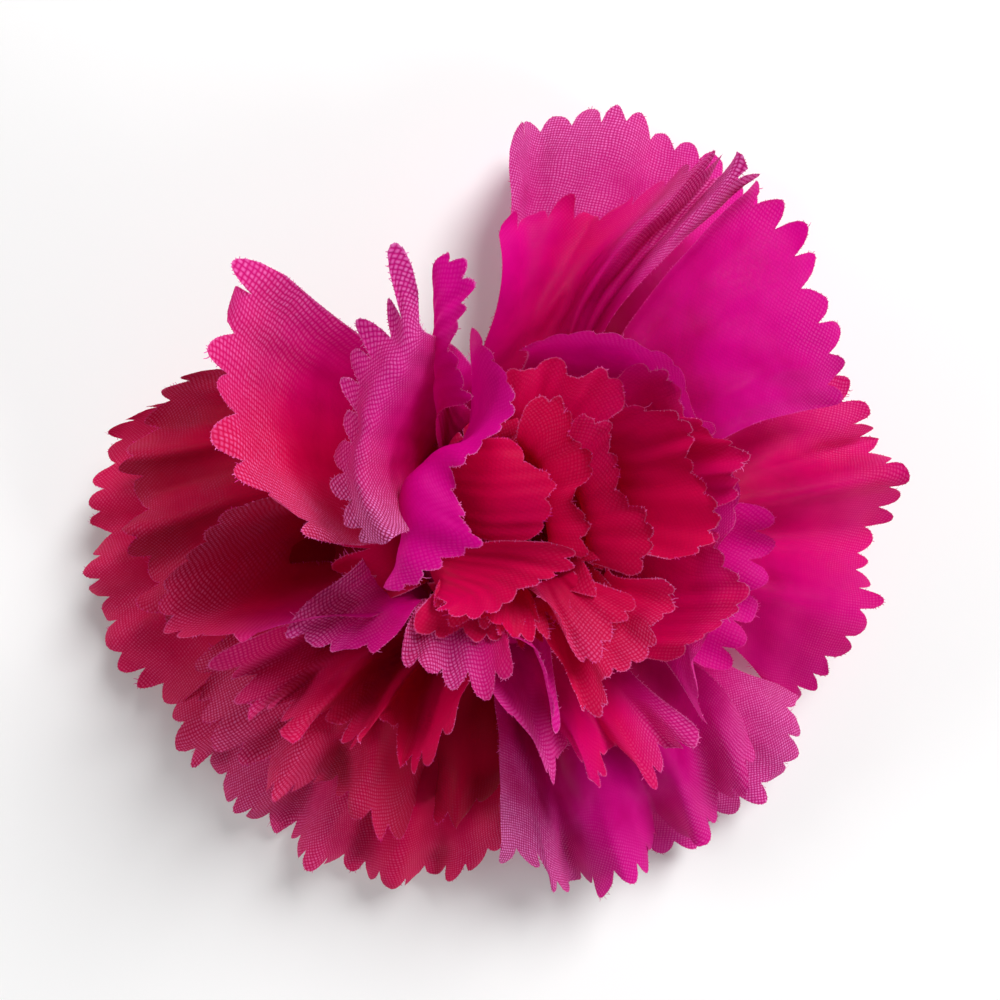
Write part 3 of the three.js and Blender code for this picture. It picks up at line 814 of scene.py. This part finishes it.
               ((12.8, -9.6, 24), (13.2, -8, 24.5), (14.8, -6.6, 24.5), (15.9, -5.2, 25), (16.2, -3.6, 25),
                (15.2, -2.2, 24.8), (15, -0.8, 25), (15.8, 0.4, 25)),
               teeth=0.35, pitch=0.6, upright=0.3, gloss=(0.3,), tone=(0.8, 0.6)),
        folded(46,
               ((12.5, 2, 22), (12, 5, 22), (11, 7.5, 22), (9, 9.5, 22), (6.5, 10.5, 22)),
               ((16.4, 2, 25), (16.9, 3.4, 25), (15.5, 4.4, 25.5), (16.6, 5.4, 25), (15.8, 6.6, 25),
                (14.4, 7, 25.5), (13.2, 8.2, 25), (12, 8.6, 25.5), (11.8, 10.4, 25), (10.8, 12, 25.3),
                (9, 12.8, 25.5)),
               teeth=0.35, pitch=0.6, upright=0.3, gloss=(0.2,), tone=(0.6, 0.8, 0.3)),
    ]),
    dict(seed=55, crease=0.25, border=0.55, rise=56, seat=4.4, hub=16.3, lobes=[
        folded(125,
               ((-3.5, 9.5, 27), (-4.2, 8, 27), (-4.8, 6.5, 27), (-5, 5, 27)),
               ((-5, 16, 35.5), (-5, 13.5, 35), (-5, 11.5, 34.5), (-4.9, 9.5, 34), (-4.8, 8, 34)),
               ((-4.2, 18.8, 37.5), (-3, 16.2, 37), (-3.3, 14, 36.8), (-4, 12.2, 36.8), (-3.5, 10.6, 36.8),
                (-3, 9.3, 37), (-1.6, 8.5, 37.2)),
               teeth=0.4, pitch=0.6, ripple=0.05, gloss=(0.3, 0.1), tone=(0.0, 0.2)),
        folded(190,
               ((-3, 7, 26), (-3.5, 6, 26.5), (-4.5, 5, 27), (-5.6, 3.5, 27), (-6, 1.5, 26.5),
                (-6, -0.5, 26), (-5.5, -2, 25)),
               ((-2.8, 13, 33), (-2.3, 10.5, 33.5), (-2, 8.5, 34), (-2.6, 6.6, 34.5), (-4.4, 5.8, 35),
                (-6, 4.7, 35.3), (-7, 3.2, 35.3), (-7.2, 1.2, 35), (-7.3, -0.8, 34.3), (-8.2, -3, 33)),
               ((-2, 13.5, 36), (-0.8, 11, 36.8), (-0.3, 9, 37), (-0.6, 7.4, 37), (-2.1, 5.9, 37),
                (-3.6, 4.8, 36.5), (-3.9, 3, 36), (-3.4, 1.2, 36), (-2.6, 0, 36), (-4.2, -1.1, 35.5),
                (-5.6, -2.8, 35), (-7, -4, 34)),
               teeth=0.35, pitch=0.55, ripple=0.05, gloss=(0.3, 0.2, 0.15, 0.4), tone=(0.1, 0.0, 0.1)),
        folded(-112,
               ((-4.5, -3, 24), (-3, -3.8, 24), (-1.5, -4, 24), (0, -3.8, 24)),
               ((-7.5, -6.2, 25.6), (-5.5, -6.9, 25.2), (-3.5, -6.6, 25.2), (-1.5, -6.9, 25.2),
                (0.3, -6.4, 25.4)),
               teeth=0.4, tone=(0.9,), gloss=(0.2,)),
        folded(-42,
               ((1.5, -5.5, 23.5), (3.5, -6, 23.5), (5, -5.5, 23.5), (6.5, -4.5, 23.5), (7.5, -3, 23.5)),
               ((3, -8.6, 26), (4.2, -10.4, 25.5), (5.2, -12.4, 25.5), (6.4, -12, 26), (6.6, -9.6, 26),
                (8, -9, 26), (9.5, -8, 25.8), (9.8, -6.2, 26.2), (11.4, -5, 26), (12, -3, 26.3)),
               teeth=0.35, pitch=0.6, gloss=(0.3, 0.4, 0.6, 0.2), tone=(1.0, 0.9)),
        folded(36,
               ((8, -1, 24), (8.8, 1.5, 24), (8.8, 4, 24), (7.8, 6.5, 24), (6.2, 8.2, 24)),
               ((12.4, -2, 26.5), (14.4, 0.2, 26), (14, 2.2, 26.5), (12.9, 4.4, 26.2), (12.2, 5.8, 26.8),
                (12.4, 7, 26.5), (11.6, 8, 26.8), (10.6, 9, 26.5), (9, 9.8, 26.8)),
               teeth=0.35, pitch=0.6, upright=0.2, gloss=(0.1,), tone=(1.0, 0.9, 0.7)),
    ]),
    dict(seed=66, crease=0.25, border=0.35, rise=60, seat=3.8, hub=17.1, lobes=[
        folded(8,
               ((5.6, -2, 25), (5.4, 0, 25.3), (5, 2, 25.4), (4.4, 4, 25.5), (3.6, 6, 25.6)),
               ((9.3, -3.2, 27), (9.6, -1.5, 27.5), (9.5, 0, 27.3), (8.9, 1.6, 27.5), (7.9, 2.2, 27.3),
                (7.4, 3.5, 27.6), (7.1, 5.5, 27.5), (6.7, 6.6, 27.8), (6.9, 7.7, 27.5), (6, 8.4, 27.8),
                (4.6, 8.8, 27.6)),
               teeth=0.3, pitch=0.6, upright=0.3, gloss=(0.2, 0.3), tone=(1.0, 0.7)),
        folded(80,
               ((5.4, 7, 24.8), (4, 7.8, 24.8), (2.5, 8.2, 24.8), (0.8, 8.4, 24.8), (-0.8, 8.2, 25)),
               ((8.8, 9.6, 26.6), (7.2, 10.6, 27), (6, 11.2, 27), (4.5, 10.8, 26.8), (3.4, 11.8, 27),
                (1.8, 12, 27), (0.6, 11.4, 27), (-0.8, 12, 27.2)),
               teeth=0.4, gloss=(0.2,), tone=(0.7, 0.9)),
        folded(-52,
               ((0.5, -3, 24.8), (1.8, -3.4, 24.8), (3.2, -3.2, 24.8), (4.6, -2.8, 24.8)),
               ((1.2, -3.9, 27.4), (2.4, -4.6, 27), (3.4, -6.2, 27), (4.4, -8, 26.8), (5.4, -8, 27),
                (6.6, -7, 26.4), (8, -5.8, 26.4), (9.6, -4.6, 26.6)),
               teeth=0.35, pitch=0.6, gloss=(0.7, 0.7, 0.2), tone=(0.8, 1.0)),
        folded(-108,
               ((-2.6, -3, 24), (-1.6, -3.5, 24), (-0.4, -3.6, 24), (0.6, -3.4, 24.2)),
               ((-4.6, -4.8, 26.5), (-2.8, -5.3, 26.4), (-1, -5.8, 26.3), (0, -6.7, 26), (1.2, -6.8, 26),
                (1.9, -6.2, 26.2), (2, -5, 26.5)),
               teeth=0.35, pitch=0.6, gloss=(0.2,), tone=(1.0,)),
        lobe(168, 36, 15.0, (60, 50, 25, 12), gloss=(0.1,), tone=(0.9,)),
    ]),
    dict(seed=77, crease=0.25, border=0.35, rise=66, seat=3.2, hub=17.9, lobes=[
        folded(20,
               ((2.6, -0.8, 26.3), (2.4, 1, 26.5), (2.2, 3, 26.5), (1.8, 5, 26.6), (0.4, 6.6, 26.6)),
               ((5.6, -1.8, 28), (5.2, 0.6, 28), (4, 2.6, 28.2), (5.1, 3.8, 28), (5.1, 5.1, 28.1),
                (4.7, 6.2, 28.1), (4, 6.5, 28.3), (3.9, 8.1, 28), (3.2, 9.2, 28.2), (1.2, 9.9, 28.3)),
               teeth=0.3, pitch=0.6, upright=0.3, gloss=(0.2, 0.3), tone=(1.0,)),
        folded(200,
               ((-4.6, -0.3, 26), (-4.8, -2, 25.8), (-5, -3.4, 25.8), (-5.4, -4.4, 25.8)),
               ((-0.4, -0.3, 28.4), (-0.7, -2, 27.4), (-2, -3.8, 27.2), (-4.6, -4.8, 27)),
               ((3.8, -0.3, 29.5), (4, -1, 28.9), (3.2, -2.2, 28.5), (1.5, -3.1, 28.3), (0.5, -3.6, 28.2),
                (-1.2, -5, 28), (-3, -5.5, 28), (-4.6, -5.4, 27.8), (-6, -5.4, 27.6)),
               teeth=0.3, pitch=0.6, gloss=(0.2,), tone=(1.0, 0.8)),
        lobe(100, 36, 13.5, (60, 50, 25, 15)),
        lobe(-44, 36, 12.0, (60, 30, 0, -5)),
        lobe(-100, 36, 12.0, (60, 30, 0, -5)),
    ]),
    dict(seed=88, crease=0.25, border=0.2, rise=72, seat=2.6, hub=18.7, lobes=[
        folded(170,
               ((-4, 6.5, 25.5), (-4.5, 4.5, 25.8), (-4.5, 2, 25.6), (-4.2, 0, 25)),
               ((-1.5, 6.8, 28), (-1.6, 4.8, 28), (-1.6, 2.2, 27.8), (-1.4, -0.4, 27)),
               ((1, 6.8, 28), (1.1, 5.4, 28), (2.2, 4, 28.2), (2.4, 1.9, 28.2), (2.3, -0.4, 27.5)),
               teeth=0.25, pitch=0.6, gloss=(0.15,), tone=(0.9, 0.9)),
        lobe(95, 36, 12.0, (70, 40, 15, 10)),
        lobe(25, 36, 12.0, (70, 40, 15, 10)),
        lobe(-66, 24, 12.0, (70, 40, 15, 10)),
        lobe(-114, 24, 12.0, (70, 40, 15, 10)),
    ]),
]

cloth = petal_cloth("petal_cloth")
for number, disc in enumerate(DISCS, 1):
    make_disc(number, disc, cloth)

green = moulded_plastic("calyx_plastic", (0.07, 0.17, 0.035, 1.0), (0.11, 0.22, 0.05, 1.0), 0.45)
white = moulded_plastic("core_plastic", (0.75, 0.71, 0.62, 1.0), (0.62, 0.58, 0.5, 1.0), 0.4)
for node, material in (("calyx", green), ("core_pin", white), ("petal_spacer", white)):
    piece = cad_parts[node]
    piece.data.materials.clear()
    piece.data.materials.append(material)

# ---- floor, light and camera --------------------------------------------------------------
SKY_LOW = 0.25                  # strength of the even light from low down
SKY_HIGH = 0.12                 # and from overhead
CAMERA_PLACE = (-0.00084, 0.0025, 0.105)
FIELD_OF_VIEW = 48.5

bpy.ops.object.select_all(action="DESELECT")
bpy.ops.mesh.primitive_plane_add(size=3.0, location=(0, 0, 0))
floor = bpy.context.object
floor.name = "floor"
floor_paint = bpy.data.materials.new("floor_paint")
floor_paint.use_nodes = True
shade = floor_paint.node_tree.nodes["Principled BSDF"]
shade.inputs["Base Color"].default_value = (0.93, 0.93, 0.93, 1.0)
shade.inputs["Roughness"].default_value = 0.9
floor.data.materials.append(floor_paint)

world = bpy.data.worlds.new("studio")
bpy.context.scene.world = world
world.use_nodes = True
sky = Wiring(world.node_tree)
direction = world.node_tree.nodes.new("ShaderNodeTexCoord").outputs["Generated"]
height = world.node_tree.nodes.new("ShaderNodeSeparateXYZ")
sky.put(height.inputs[0], direction)
backdrop = world.node_tree.nodes["Background"]
backdrop.inputs["Color"].default_value = (1.0, 1.0, 1.0, 1.0)
sky.put(backdrop.inputs["Strength"], sky.span(height.outputs[2], 0.2, 0.8, SKY_LOW, SKY_HIGH))


def soft_light(name, place, aim, size, power):
    data = bpy.data.lights.new(name, "AREA")
    data.shape = "DISK"
    data.size = size
    data.energy = power
    light = bpy.data.objects.new(name, data)
    bpy.context.scene.collection.objects.link(light)
    light.location = place
    direction = np.array(aim) - np.array(place)
    light.rotation_euler = Vector(direction).to_track_quat("-Z", "Y").to_euler()


soft_light("key_light", place=(0.26, 0.36, 0.46), aim=(0, 0, 0.01), size=0.3, power=4.0)
soft_light("left_light", place=(-0.5, 0.04, 0.26), aim=(0, 0, 0.02), size=0.26, power=1.1)
soft_light("right_light", place=(0.42, -0.32, 0.26), aim=(0, 0, 0.01), size=0.24, power=1.2)

camera_data = bpy.data.cameras.new("camera")
camera = bpy.data.objects.new("camera", camera_data)
bpy.context.scene.collection.objects.link(camera)
camera.location = CAMERA_PLACE
camera_data.lens_unit = "FOV"
camera_data.angle = math.radians(FIELD_OF_VIEW)
camera_data.clip_start = 0.002
camera_data.clip_end = 20.0
bpy.context.scene.camera = camera

bpy.context.scene.view_settings.view_transform = "Standard"
